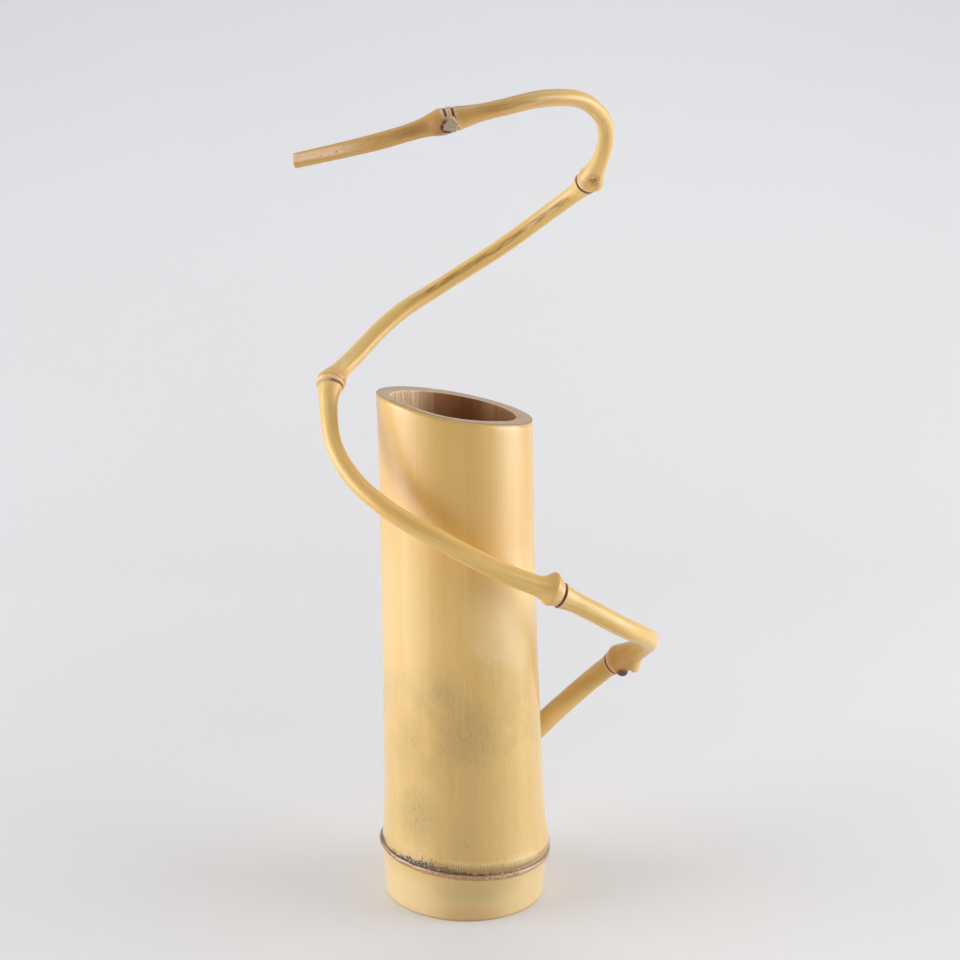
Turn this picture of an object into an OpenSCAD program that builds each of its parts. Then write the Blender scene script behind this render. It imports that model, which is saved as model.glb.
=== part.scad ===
// Bamboo flower vase: a cut culm, one bent branch wound round it and a lift-out water tube.
// Millimetres, foot on Z = 0, the front of the vase faces -Y.

/* [Culm] */
// Outside diameter of the culm at its mouth
culm_d = 70.6; // [64:0.2:80]
// Height from the table to the middle of the slanting mouth
culm_h = 237.6; // [215:0.2:262]
// Growth of the culm's radius from the mouth down to the node
culm_swell = 3.1; // [1.5:0.1:4.5]
// Lean of the culm to the left above its node, in degrees
culm_lean = 1.3; // [0:0.1:3]
// Fall of the mouth to the right, in degrees
mouth_fall = 10; // [0:0.5:15]
// Fall of the mouth to the back, in degrees
mouth_back = 2.6; // [0:0.2:6]

/* [Node ring and foot] */
// Height of the node ring above the table
node_h = 25; // [20:0.5:32]
// Fall of the node ring to the right, in degrees
ring_fall = 3.5; // [0:0.5:5]
// Extra radius of the node ring over the culm's wall
ring_out = 2.2; // [1.8:0.1:3]
// Width of the node ring
ring_w = 9; // [6:0.5:12]
// Depth of the sheath scar cut round the ring
scar_deep = 0.6; // [0.3:0.1:1]
// Extra radius where the wall swells out above the ring
flare_out = 1.5; // [0.6:0.1:1.8]
// Outside diameter of the foot on the table
foot_d = 75.8; // [72:0.2:84]
// Diameter of the open recess under the foot
recess_d = 54; // [44:0.5:58]
// Depth of the open recess under the foot
recess_deep = 17; // [10:0.5:18]

/* [Chamber and water tube] */
// Bore of the chamber that takes the water tube
chamber_d = 56.6; // [50:0.2:60]
// Height of the chamber's floor above the middle of the node ring
chamber_floor = 3; // [1:0.5:8]
// Gap between the tube's rolled rim and the chamber, on the radius
tube_gap = 0.35; // [0.3:0.05:0.6]
// Extra radius of the rolled rim over the tube
rim_out = 0.8; // [0.5:0.1:1.2]
// Height of the rolled rim
rim_h = 2.4; // [1.8:0.2:4]
// Wall of the water tube
tube_wall = 0.8; // [0.6:0.1:1.5]
// Depth of the tube's rim below the middle of the mouth
tube_drop = 36; // [28:1:60]
// Thickness of the tube's base disc, soldered under the tube's edge
base_t = 1.2; // [0.8:0.1:2.5]

/* [Branch] */
// Thickness of the whole branch against the route table
branch_size = 1; // [0.9:0.05:1.1]
// Height of the whole winding against the route table
branch_lift = 1; // [0.95:0.01:1.08]
// Extra stand-off of the whole winding from the culm
branch_off = 0; // [0:0.5:6]
// Extra radius of the branch at its own nodes
swell_out = 2.2; // [1:0.1:2.8]
// Length of a node's swelling along the branch
swell_len = 8; // [6:0.5:10]
// Depth of the groove along some internodes, as a share of the radius
groove = 0.14; // [0:0.01:0.2]
// Bulge of the dormant buds
bud_r = 2.3; // [1.6:0.1:2.8]
// Radius of the sawn side shoot on the last node
stub_r = 3.1; // [2.2:0.1:3.6]
// Length of the sawn side shoot from the middle of the branch
stub_len = 6.4; // [5.8:0.2:8]

/* [Branch socket] */
// Diameter of the branch's straight end in the culm wall
tenon_d = 10.4; // [9:0.1:11.4]
// Gap round the branch's end in its socket, on the radius
tenon_gap = 0.1; // [0.05:0.01:0.15]
// Angle round the culm of the socket, 0 at the right and 90 at the back
socket_turn = 40; // [36:1:44]
// Height of the socket above the node ring
socket_h = 37.5; // [35:0.5:40]
// Rise of the socket's axis, in degrees
socket_rise = 44; // [40:1:48]
// Heading of the socket's axis seen from above, in degrees
socket_aim = 18; // [14:1:22]

/* [Hidden] */
$fn = 96;
bamboo = "#E3BE7C";
ochre = "#CF9F52";
copper = "#B87748";

// Length of the internode above the node ring, up to the middle of the mouth
wall_h = culm_h - node_h;
mouth_r = culm_d / 2;
lip = mouth_r * (tan(mouth_fall) + tan(mouth_back)) + 4;
chamber_r = chamber_d / 2;
tube_r = chamber_r - tube_gap - rim_out;
tube_bore = tube_r - tube_wall;
tube_h = wall_h - tube_drop - chamber_floor;

// Outside radius of the upper internode, h above the middle of the node ring
function wall_r(h) =
  mouth_r + culm_swell * pow(1 - min(h, wall_h) / wall_h, 2) + flare_out * exp(-h / 8);

// The branch's way is drawn for a culm of this diameter and height, and follows both
drawn_for = [70.6, 237.6];
wide = culm_d / drawn_for[0];
tall = culm_h / drawn_for[1];

// The branch's way round the culm, from its socket to its tip. Each row has the angle round the
// culm, the stand-off from its mouth radius, the height above the node ring and the thickness.
route = [
  [35, 12.5, 47.5, 10.2],
  [32.5, 24.7, 56.2, 9.9],
  [28, 35.2, 66.2, 9.8],
  [20.5, 42.7, 77.1, 10],
  [11, 51.4, 88.2, 9.5],
  [2.5, 53, 96.5, 9.7],
  [-6, 50.3, 103.3, 9.1],
  [-17.5, 43.1, 113.2, 9.3],
  [-29, 32.5, 125, 9.4],
  [-39.5, 24, 134, 9.4],
  [-66, 12, 147.5, 9.1],
  [-98.5, 10.5, 163, 8.7],
  [-127.5, 14.7, 176.7, 8.3],
  [-147, 18.5, 188, 7.9],
  [-160.5, 21.5, 201, 7.6],
  [-170.5, 21.3, 212, 7.9],
  [-181, 20, 222.5, 8.5],
  [-203, 12, 234, 8.2],
  [-233.5, 7, 249, 7.8],
  [-264.5, 8, 260.7, 7.2],
  [-297, 14.5, 277, 7.5],
  [-320, 23, 293.5, 7.6],
  [-338, 31.3, 308.7, 7.9],
  [-352, 34.3, 324, 7.4],
  [-364, 33.5, 338.6, 6.9],
  [-379, 26.5, 349.5, 7.1],
  [-398, 18, 351.8, 7.4],
  [-421, 12.5, 349, 7.2],
  [-445.5, 11, 345.2, 7.3],
  [-481.5, 16, 336.8, 7.2],
  [-511.5, 37, 328.3, 6.4],
];

// Places of the branch's nodes in the way below
node_row = [0, 4, 10, 17, 23, 29, 31];

// Swelling of each of those nodes, in shares of swell_out and swell_len: height and place of the
// ridge, height at the scar, fall past the ridge, and height and reach of the flare below the scar
node_form = [
  [0, 1, 0, 1, 0, 1],
  [0.9, 0.55, 0.35, 1, 0.2, 0.4],
  [1.2, 0.62, 0.4, 0.55, 0.55, 0.6],
  [0.75, 0.32, 0.7, 0.8, 0.65, 0.75],
  [0.85, 0.5, 0.6, 0.85, 0.55, 0.6],
  [0.95, 0.65, 0.75, 0.75, 0.75, 1.2],
  [0, 1, 0, 1, 0, 1],
];

// Side bulges: distance past the node, side of the branch, stand-off and radius, the last three
// of them in shares of swell_len, degrees and bud_r
bend_bud = [0.6, 265, 2.75, 1];
bend_bump = [1.46, 280, 2.4, 1.15];
crook_bud = [0.62, 300, 2, 1.05];

// Sawn side shoot: distance past the last node, just clear of its scar, and side of the branch
stub_past = 1.1 * stub_r + 0.2;
stub_side = 342;

// Side of the groove at the lower and the upper end of each internode: 0 away from the culm,
// 90 up, 180 towards the culm
groove_side = [[180, 180], [180, 180], [200, 200], [95, 220], [215, 400], [345, 345]];
groove_on = [0, 0.3, 0.4, 1, 0.9, 1];
ring_gap = 2.6;
sides = 16;

// Axis and outer end of the branch's socket
aim = [cos(socket_rise) * cos(socket_aim), cos(socket_rise) * sin(socket_aim), sin(socket_rise)];
gate_r = wall_r(socket_h);
gate = [gate_r * cos(socket_turn), gate_r * sin(socket_turn), socket_h];
straight = 0.58 * tenon_d;
buried = 2.5 * tenon_d;

function spot(p) =
  let (r = (drawn_for[0] / 2 + p[1]) * wide + branch_off)
  [r * cos(p[0]), r * sin(p[0]), p[2] * tall * branch_lift];
way = [gate + aim * straight * 0.66, for (p = route) spot(p)];
thick = [tenon_d * 0.94, for (p = route) p[3] * wide * branch_size];
last = len(way) - 1;

// Direction of the branch at each place of the way
function slope(i) =
  i == 0 ? aim
  : i == last ? (way[i] - way[i - 1]) / norm(way[i] - way[i - 1])
  : let (a = norm(way[i] - way[i - 1]), b = norm(way[i + 1] - way[i]))
    ((way[i] - way[i - 1]) * b / a + (way[i + 1] - way[i]) * a / b) / (a + b);
heading = [for (i = [0:last]) slope(i)];

// Smooth way through the places: position and direction, t from place i to the next one
function run(i) = norm(way[i + 1] - way[i]);
function place(i, t) =
  way[i] * (2 * t * t * t - 3 * t * t + 1)
  + heading[i] * run(i) * (t * t * t - 2 * t * t + t)
  + way[i + 1] * (3 * t * t - 2 * t * t * t)
  + heading[i + 1] * run(i) * (t * t * t - t * t);
function aimed(i, t) =
  let (d = way[i] * (6 * t * t - 6 * t) + heading[i] * run(i) * (3 * t * t - 4 * t + 1)
    + way[i + 1] * (6 * t - 6 * t * t) + heading[i + 1] * run(i) * (3 * t * t - 2 * t))
  d / norm(d);

// Swelling of a node of form w, d past its scar: up to a ridge, then a long fall. Below the scar
// the wall flares out.
function eased(t) = let (u = min(1, max(0, t))) u * u * (3 - 2 * u);
function above(w, d) =
  d < w[1] * swell_len
  ? w[0] * (w[2] + (1 - w[2]) * eased(d / (w[1] * swell_len)))
  : w[0] * exp(-pow((d - w[1] * swell_len) / (w[3] * swell_len), 1.5));
function below(w, d) = w[4] * exp(-pow(d / (w[5] * swell_len), 2));

// Radius of internode n at distance a past its lower node and b short of its upper one
function girth(i, t, n, a, b) =
  (thick[i] + (thick[i + 1] - thick[i]) * t) / 2
  + swell_out * above(node_form[n], a)
  + swell_out * below(node_form[n + 1], b);
function groove_at(n, f, t) =
  let (side = groove_side[n][0] * (1 - t) + groove_side[n][1] * t)
  let (d = abs(((f - side + 720 + 180) % 360) - 180))
  groove * groove_on[n] * exp(-pow(d / 34, 2));

function ring(i, t, n, fade) =
  let (
    c = place(i, t),
    w = aimed(i, t),
    out = [c[0], c[1], 0] - w * (w * [c[0], c[1], 0]),
    u = out / norm(out),
    v = cross(w, u),
    a = norm(c - way[node_row[n]]),
    b = norm(c - way[node_row[n + 1]]),
    r = girth(i, t, n, a, b)
  )
  [
    for (k = [0:sides - 1])
      let (f = 360 * k / sides, g = r * (1 - fade * groove_at(n, f, a / (a + b))))
      c + u * g * cos(f) + v * g * sin(f)
  ];

// All rings of internode n. The groove fades out at both of its nodes.
function steps(i) = max(2, round(run(i) / (ring_gap * wide)));
function rings(n) = [
  for (i = [node_row[n]:node_row[n + 1] - 1])
    for (s = [0:steps(i) - (i == node_row[n + 1] - 1 ? 0 : 1)])
      let (t = s / steps(i), c = place(i, t))
      let (a = norm(c - way[node_row[n]]), b = norm(c - way[node_row[n + 1]]))
      ring(i, t, n, min(1, a / swell_len) * min(1, n == 5 ? 1 : b / swell_len)),
];

module internode(n) {
  loops = rings(n);
  m = len(loops);
  polyhedron(
    points = [for (loop = loops) each loop],
    faces = concat(
      [[for (k = [0:sides - 1]) k]],
      [[for (k = [sides - 1:-1:0]) (m - 1) * sides + k]],
      [
        for (j = [0:m - 2])
          for (k = [0:sides - 1])
            let (q = (k + 1) % sides, lo = j * sides, hi = lo + sides)
            each [[lo + k, hi + k, hi + q], [lo + k, hi + q, lo + q]],
      ]
    )
  );
}

// Turns +Z of what follows to the direction w
module facing(w) {
  rotate([0, acos(w[2] / norm(w)), atan2(w[1], w[0])]) children();
}

// Stands what follows on the side of the branch, past place i, f degrees round the branch
module on_side(i, past, f, lift) {
  t = past / run(i);
  c = place(i, t);
  w = aimed(i, t);
  out = [c[0], c[1], 0] - w * (w * [c[0], c[1], 0]);
  u = out / norm(out);
  v = cross(w, u);
  side = u * cos(f) + v * sin(f);
  translate(c + side * lift) facing(side) children();
}

// Round bulge b of the branch, past place i
module bulge(i, b) {
  on_side(i, b[0] * swell_len, b[1], b[2] * bud_r) sphere(r = b[3] * bud_r, $fn = 32);
}

// Upper internode's own frame: leans to the left about the middle of the node ring
module leaning() {
  translate([0, 0, node_h]) rotate([0, -culm_lean, 0]) children();
}

module chamber() {
  translate([0, 0, chamber_floor]) cylinder(h = wall_h + lip, r = chamber_r);
}

module socket(d) {
  translate(gate - aim * buried) facing(aim) cylinder(h = buried + straight, d = d);
}

module upper_internode() {
  steps_up = 20;
  rotate_extrude() polygon([
    [0, -ring_w],
    [wall_r(0), -ring_w],
    for (j = [0:steps_up]) let (h = wall_h * pow(j / steps_up, 1.4)) [wall_r(h), h],
    [mouth_r, wall_h + lip],
    [0, wall_h + lip],
  ]);
}

// Everything below the upper edge of the node ring
module below_ring() {
  big = 4 * culm_d;
  translate([0, 0, node_h]) rotate([0, ring_fall, 0])
    translate([-big / 2, -big / 2, 0.35 * ring_w - big]) cube([big, big, big]);
}

module mouth_cut() {
  big = 4 * culm_d;
  translate([0, 0, wall_h]) rotate([-mouth_back, mouth_fall + culm_lean, 0])
    translate([-big / 2, -big / 2, 0]) cube([big, big, big]);
}

module node_ring() {
  r = wall_r(0) - flare_out;
  e = ring_w / 2;
  top = r + ring_out;
  rotate([0, ring_fall, 0]) rotate_extrude() polygon([
    [0, -1.1 * e],
    [foot_d / 2 - 1.5, -1.1 * e],
    [r + 0.7 * ring_out, -0.7 * e],
    [top, -0.35 * e],
    [top, 0],
    [top - scar_deep, 0.12 * e],
    [top - scar_deep, 0.34 * e],
    [top - 0.1, 0.46 * e],
    [top - 0.3, 0.75 * e],
    [r - 1, 1.3 * e],
    [0, 1.3 * e],
  ]);
}

module foot_stub() {
  r = foot_d / 2;
  rotate_extrude() polygon([
    [0, 0],
    [r - 0.6, 0],
    [r, 0.8],
    [r + 0.6, 0.32 * node_h],
    [r + 0.9, 0.64 * node_h],
    [r + 0.9, node_h - 1],
    [0, node_h - 1],
  ]);
}

module culm() {
  color(bamboo) difference() {
    union() {
      foot_stub();
      translate([0, 0, node_h]) node_ring();
      difference() {
        leaning() difference() {
          upper_internode();
          mouth_cut();
        }
        below_ring();
      }
    }
    leaning() chamber();
    leaning() socket(tenon_d + 2 * tenon_gap);
    translate([0, 0, -1]) cylinder(h = recess_deep + 1, d = recess_d);
  }
}

module branch_foot() {
  color(ochre) leaning() difference() {
    union() {
      internode(0);
      socket(tenon_d);
    }
    chamber();
  }
}

module branch_bend() {
  color(ochre) leaning() union() {
    internode(1);
    bulge(node_row[1], bend_bud);
    bulge(node_row[1], bend_bump);
  }
}

module branch_front() {
  color(ochre) leaning() internode(2);
}

module branch_back() {
  color(ochre) leaning() internode(3);
}

module branch_crook() {
  color(ochre) leaning() union() {
    internode(4);
    bulge(node_row[4], crook_bud);
  }
}

module branch_tip() {
  color(ochre) leaning() union() {
    internode(5);
    on_side(node_row[5], stub_past, stub_side, 0)
      cylinder(h = stub_len, r1 = stub_r * 1.1, r2 = stub_r);
  }
}

module water_tube() {
  rim = tube_r + rim_out;
  color(copper) leaning() translate([0, 0, chamber_floor]) rotate_extrude() polygon([
    [tube_bore, base_t],
    [tube_r, base_t],
    [tube_r, tube_h - rim_h],
    [rim - 0.2, tube_h - 0.8 * rim_h],
    [rim, tube_h - 0.5 * rim_h],
    [rim - 0.2, tube_h - 0.2 * rim_h],
    [tube_r, tube_h],
    [tube_bore + 0.2, tube_h],
    [tube_bore, tube_h - 0.2],
  ]);
}

module tube_base() {
  color(copper) leaning() translate([0, 0, chamber_floor]) cylinder(h = base_t, r = tube_r);
}

culm();
branch_foot();
branch_bend();
branch_front();
branch_back();
branch_crook();
branch_tip();
water_tube();
tube_base();
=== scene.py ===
import math

import bpy
import numpy as np
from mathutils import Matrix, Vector


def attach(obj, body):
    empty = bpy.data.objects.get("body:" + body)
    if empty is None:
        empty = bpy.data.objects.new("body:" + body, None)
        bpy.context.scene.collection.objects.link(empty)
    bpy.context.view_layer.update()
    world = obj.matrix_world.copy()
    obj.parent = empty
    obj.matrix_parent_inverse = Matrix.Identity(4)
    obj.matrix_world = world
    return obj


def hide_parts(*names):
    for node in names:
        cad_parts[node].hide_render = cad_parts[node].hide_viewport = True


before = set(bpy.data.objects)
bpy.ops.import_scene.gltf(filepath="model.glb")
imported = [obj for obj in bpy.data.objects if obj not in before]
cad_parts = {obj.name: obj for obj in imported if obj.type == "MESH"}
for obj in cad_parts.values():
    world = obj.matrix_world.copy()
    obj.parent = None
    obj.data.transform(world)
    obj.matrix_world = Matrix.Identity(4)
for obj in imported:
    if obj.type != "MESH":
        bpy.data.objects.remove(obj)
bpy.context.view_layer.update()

MM = 0.001

# Sizes shared with the CAD source, in millimetres and degrees
CULM_H, NODE_H, MOUTH_R, SWELL = 237.6, 25.0, 35.3, 3.1
LEAN, MOUTH_FALL, MOUTH_BACK, RING_FALL = 1.3, 10.0, 2.6, 3.5
WALL_H = CULM_H - NODE_H
FOOT_R, FLARE, FLARE_FALL = 37.9, 1.5, 8
CHAMBER_R, CHAMBER_FLOOR = 28.3, 3.0
RECESS_R = 27.0
TUBE_R, TUBE_BORE, TUBE_RIM, TUBE_H, RIM_H = 27.15, 26.35, 27.95, 173.6, 2.4
BASE_T = 1.2
TENON_R = 5.2
SOCKET_TURN, SOCKET_H, SOCKET_RISE, SOCKET_AIM = 40.0, 37.5, 44.0, 18.0
STUB_R, STUB_LEN = 3.1, 6.0

# Tenon as drawn, hidden in the culm: how far back its way and its mesh reach, and its share of
# the socket's width
TENON_BACK, TENON_LEN, TENON_FIT = 30.0, 26.0, 0.94

# Points round the culm, the branch, its side shoot and the turned pieces
CULM_COLS, BRANCH_COLS, STUB_COLS, TUBE_COLS = 320, 96, 48, 160

# The branch's way: angle round the culm, stand-off, height above the node ring, thickness
ROUTE = [
    (35, 12.5, 47.5, 10.2),
    (32.5, 24.7, 56.2, 9.9),
    (28, 35.2, 66.2, 9.8),
    (20.5, 42.7, 77.1, 10),
    (11, 51.4, 88.2, 9.5),
    (2.5, 53, 96.5, 9.7),
    (-6, 50.3, 103.3, 9.1),
    (-17.5, 43.1, 113.2, 9.3),
    (-29, 32.5, 125, 9.4),
    (-39.5, 24, 134, 9.4),
    (-66, 12, 147.5, 9.1),
    (-98.5, 10.5, 163, 8.7),
    (-127.5, 14.7, 176.7, 8.3),
    (-147, 18.5, 188, 7.9),
    (-160.5, 21.5, 201, 7.6),
    (-170.5, 21.3, 212, 7.9),
    (-181, 20, 222.5, 8.5),
    (-203, 12, 234, 8.2),
    (-233.5, 7, 249, 7.8),
    (-264.5, 8, 260.7, 7.2),
    (-297, 14.5, 277, 7.5),
    (-320, 23, 293.5, 7.6),
    (-338, 31.3, 308.7, 7.9),
    (-352, 34.3, 324, 7.4),
    (-364, 33.5, 338.6, 6.9),
    (-379, 26.5, 349.5, 7.1),
    (-398, 18, 351.8, 7.4),
    (-421, 12.5, 349, 7.2),
    (-445.5, 11, 345.2, 7.3),
    (-481.5, 16, 336.8, 7.2),
    (-511.5, 37, 328.3, 6.4),
]
NODE_ROWS = (4, 10, 17, 23, 29)
LAST = len(NODE_ROWS) - 1

# Swelling of each node: height of the ridge, its distance past the scar, share of it at the scar,
# fall past it, flare below the scar and its reach; the side that swells most and how much more;
# the scar's slant and the side it slants to
NODE_KEYS = ("ridge", "peak", "start", "fall", "flare", "reach", "side", "lop", "slant", "to")
NODE_SIZES = [
    (2.0, 4.6, 0.35, 8.0, 0.45, 3.2, 120, 0.1, 0.4, 120),
    (3.15, 5.2, 0.28, 3.0, 1.2, 5.0, 90, 0.33, 0.3, 90),
    (2.3, 3.4, 0.85, 4.6, 1.15, 6.5, 20, 0.25, 0.8, 200),
    (1.8, 4.2, 0.6, 5.8, 1.2, 5.0, 280, 0.2, 0.6, 90),
    (2.0, 6.2, 0.8, 6.0, 1.4, 7.5, 90, 0.1, 0.5, 30),
]
NODE_FORM = [dict(zip(NODE_KEYS, sizes)) for sizes in NODE_SIZES]

# Fine folds round each node: distance past the scar, height, half width
FOLDS = [
    [(1.6, 0.12, 0.5)],
    [(1.7, 0.18, 0.6)],
    [(1.3, 0.12, 0.55), (2.6, -0.2, 0.4), (3.9, 0.14, 0.7), (5.2, -0.12, 0.4), (-1.7, 0.1, 0.6)],
    [(1.6, 0.15, 0.5), (-1.6, 0.12, 0.6)],
    [(1.6, 0.15, 0.5), (-1.7, 0.15, 0.6), (5.5, 0.2, 0.6)],
]

# Side bulges: node, distance past its scar, side of the branch, height, half length, half width
# and how flat its top is. The flattest is the dark bud.
BULGES = [
    (0, 4.8, 263, 2.1, 3.2, 2.5, 3.0),
    (0, 11.8, 280, 3.8, 3.2, 3.1, 2.0),
    (3, 5.0, 305, 1.2, 4.0, 3.4, 2.0),
]
BULGE_R, BUD_FLAT = 5.5, 2.5

# Groove of each internode: side of the branch at its lower and upper node, depth as a share of
# the radius, half width in degrees. The shallow ones get no painted shade and no stain.
GROOVES = [
    (180, 180, 0.0, 30),
    (180, 180, 0.03, 30),
    (200, 200, 0.05, 30),
    (95, 220, 0.14, 34),
    (215, 400, 0.12, 34),
    (345, 372, 0.16, 40),
]
GROOVE_SEEN = 0.08


def rad(a):
    return a * math.pi / 180.0


def gauss(x, width):
    return np.exp(-((x / width) ** 2))


def step(x, lo, hi):
    t = np.clip((x - lo) / (hi - lo), 0.0, 1.0)
    return t * t * (3.0 - 2.0 * t)


def cosd(a):
    """Cosine of an angle in degrees."""
    return np.cos(np.radians(a))


def cos_sin(a):
    """Cosines and sines of angles in degrees."""
    return cosd(a), np.sin(np.radians(a))


def turned(a, b):
    """Signed angle from b to a, -180 to 180 degrees."""
    return (a - b + 540.0) % 360.0 - 180.0


def lean_out(p):
    """Points of the culm's leaning frame, in mm, to the part's frame, in metres."""
    c, s = math.cos(rad(LEAN)), math.sin(rad(LEAN))
    x, y, z = p[..., 0], p[..., 1], p[..., 2]
    return np.stack([x * c - z * s, y, x * s + z * c + NODE_H], -1) * MM


def waves(x, y, z, seed, scale):
    """Smooth repeatable noise from a few sines, about -1 to 1."""
    rng = np.random.default_rng(seed)
    out = np.zeros(np.broadcast(x, y, z).shape)
    for _ in range(9):
        d = rng.normal(size=3)
        d /= np.linalg.norm(d)
        k = scale * rng.uniform(0.6, 1.8)
        out = out + np.sin((x * d[0] + y * d[1] + z * d[2]) * k + rng.uniform(0, 6.28))
    return out / 4.0


# Mesh making


def add_mesh(name, verts, faces, slots=None, attrs=None):
    """Smooth mesh object with material slots and, where given, named point attributes."""
    mesh = bpy.data.meshes.new(name)
    mesh.from_pydata([tuple(v) for v in verts], [], faces)
    if slots is not None:
        mesh.polygons.foreach_set("material_index", np.asarray(slots, dtype=np.int32))
    mesh.polygons.foreach_set("use_smooth", np.ones(len(mesh.polygons), dtype=bool))
    for key, data in (attrs or {}).items():
        data = np.asarray(data, dtype=np.float32)
        vector = data.ndim == 2
        layer = mesh.attributes.new(key, "FLOAT_VECTOR" if vector else "FLOAT", "POINT")
        layer.data.foreach_set("vector" if vector else "value", data.ravel())
    mesh.update()
    obj = bpy.data.objects.new(name, mesh)
    bpy.context.collection.objects.link(obj)
    return obj


def grid_faces(rows, cols, first=0, flip=False):
    """Quads of a grid that closes round its columns."""
    out = []
    for i in range(rows - 1):
        a, b = first + i * cols, first + (i + 1) * cols
        for k in range(cols):
            q = (k + 1) % cols
            face = (a + k, a + q, b + q, b + k)
            out.append(face[::-1] if flip else face)
    return out


def place(obj, body, slot, *nodes):
    """Hands a piece to its body and hides the CAD nodes that it stands for. The slot is not used."""
    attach(obj, body)
    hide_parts(*nodes)
    return obj


# Culm

# Radius that the node ring adds: heights above its plane, its lip and the flare above it
RING_Q = [-26, -9, -5.5, -3.9, -3.0, -2.4, -1.5, -0.5, 0.1, 0.7, 1.3, 2.4, 4.5, 8, 13, 20, 30]
LIP_X = [0, 0.15, 0.3, 0.5, 1.1, 1.75, 2.0, 1.55, 0.6, 0.2, 0.05, 0, 0, 0, 0, 0, 0]
FLARE_X = [0, 0, 0, 0, 0, 0, 0, 0.1, 0.35, 0.8, 1.4, 1.7, 1.45, 0.9, 0.45, 0.12, 0]

# Strength of lip and flare round the ring: 0 right, 90 back, 180 left, 270 front
AROUND = [0, 90, 180, 225, 270, 330, 360]
LIP_SIZE = [1.0, 1.0, 1.3, 1.15, 1.0, 1.05, 1.0]
FLARE_SIZE = [1.25, 1.0, 0.6, 0.8, 1.0, 1.15, 1.25]

# The front of the internode is flatter than a circle towards the mouth
FLAT_DEEP, FLAT_SIDE, FLAT_HALF = 1.5, 272.0, 52.0
TOP_SHIFT = 0.35


def culm_base(z):
    """Outside radius of the plain wall at height z above the table."""
    h = z - NODE_H
    upper = MOUTH_R + SWELL * (1 - np.clip(h, 0, WALL_H) / WALL_H) ** 2
    foot = FOOT_R + (MOUTH_R + SWELL - FOOT_R) * step(z, 0, NODE_H)
    return np.where(h > 0, upper, foot)


def culm_axis(h):
    """Sideways place of the wall's middle, h above the ring's plane."""
    return -np.maximum(h, 0.0) * math.tan(rad(LEAN)) + TOP_SHIFT * step(h, 110, 205)


def ring_extra(q, ang):
    """Radius that the node ring adds, q mm above the ring's plane."""
    x, y = (40 * v for v in cos_sin(ang))
    rough = np.interp(np.abs(turned(ang, 245)), [0, 30, 60, 180], [1.0, 0.8, 0.45, 0.6])
    q = q + 0.3 * waves(x, y, 0, 3, 0.5) * rough * gauss(q, 4)
    lip = np.interp(q, RING_Q, LIP_X) * np.interp(ang, AROUND, LIP_SIZE)
    flare = np.interp(q, RING_Q, FLARE_X) * np.interp(ang, AROUND, FLARE_SIZE)
    return lip + flare + 0.2 * waves(x, y, q * 2, 11, 2.4) * rough * gauss(q + 0.4, 1.7)


def foot_extra(z, ang):
    """The foot isn't quite round: it stands out at the left and tapers at the right."""
    below = 1 - step(z, NODE_H - 4, NODE_H)
    left = 0.45 * gauss(turned(ang, 180), 60)
    right = 0.9 * gauss(turned(ang, 0), 50) * (z / NODE_H - 0.5)
    return below * (left + right)


def mouth_z(x, y):
    """Height of the slanted mouth over a point of the part's frame, with its sawn waves."""
    x = x + WALL_H * math.sin(rad(LEAN))
    a = np.degrees(np.arctan2(y, x))
    wave = 1.05 * gauss(turned(a, 218), 30) + 0.55 * gauss(turned(a, 312), 28)
    return CULM_H - x * math.tan(rad(MOUTH_FALL)) - y * math.tan(rad(MOUTH_BACK)) + wave


def culm_rows():
    """Heights above the ring's plane of the rows of the outer wall."""
    foot = np.linspace(-NODE_H, -6, 15)
    ring = np.linspace(-6, 6, 70)[1:]
    return np.concatenate([foot, ring, np.linspace(6, 20, 20)[1:], np.linspace(20, WALL_H, 80)[1:]])


class Rows:
    """Rings of points from the foot's edge over the outside into the chamber, and back below."""

    def __init__(self, cols):
        self.cols = cols
        self.ang = np.arange(cols) * 360.0 / cols
        self.c, self.s = cos_sin(self.ang)
        self.points, self.q, self.rim, self.kind = [], [], [], []

    def add(self, x, y, z, q, kind, rim=0.5):
        self.points.append(np.stack([x, y, np.broadcast_to(z, (self.cols,))], -1))
        self.q.append(np.full(self.cols, q))
        self.rim.append(np.full(self.cols, rim))
        self.kind.append(kind)


SKIN, CUT, INNER, PARTITION = range(4)


def outer_wall(rows):
    """Outside of the culm, from the foot over the node ring to the mouth."""
    tan_fall = math.tan(rad(RING_FALL))
    oval = 1 + 0.017 * cosd(2 * (rows.ang + 39)) - 0.002
    for q in culm_rows():
        ring_tilt = step(q, -NODE_H, -8) * (1 - step(q, 8, 60))
        z = NODE_H + q - (MOUTH_R + SWELL) * rows.c * tan_fall * ring_tilt
        r = culm_base(z) * oval
        top = mouth_z(culm_axis(q) + r * rows.c, r * rows.s)
        z = z + (top - CULM_H) * step(q, 60, WALL_H)
        h = z - NODE_H
        r = culm_base(z) * oval + ring_extra(q, rows.ang) + foot_extra(z, rows.ang)
        r = r - FLAT_DEEP * gauss(turned(rows.ang, FLAT_SIDE), FLAT_HALF) * step(h, 25, 200)
        r = r + 0.1 * waves(rows.c * 36, rows.s * 36, z * 0.12, 5, 0.16)
        r = r - 0.35 * (1 - step(q, -NODE_H, -NODE_H + 0.9)) - 0.2 * step(q, WALL_H - 0.5, WALL_H)
        rows.add(culm_axis(h) + r * rows.c, r * rows.s, z, q, SKIN, 0.0 if q > 0 else 0.5)


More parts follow.
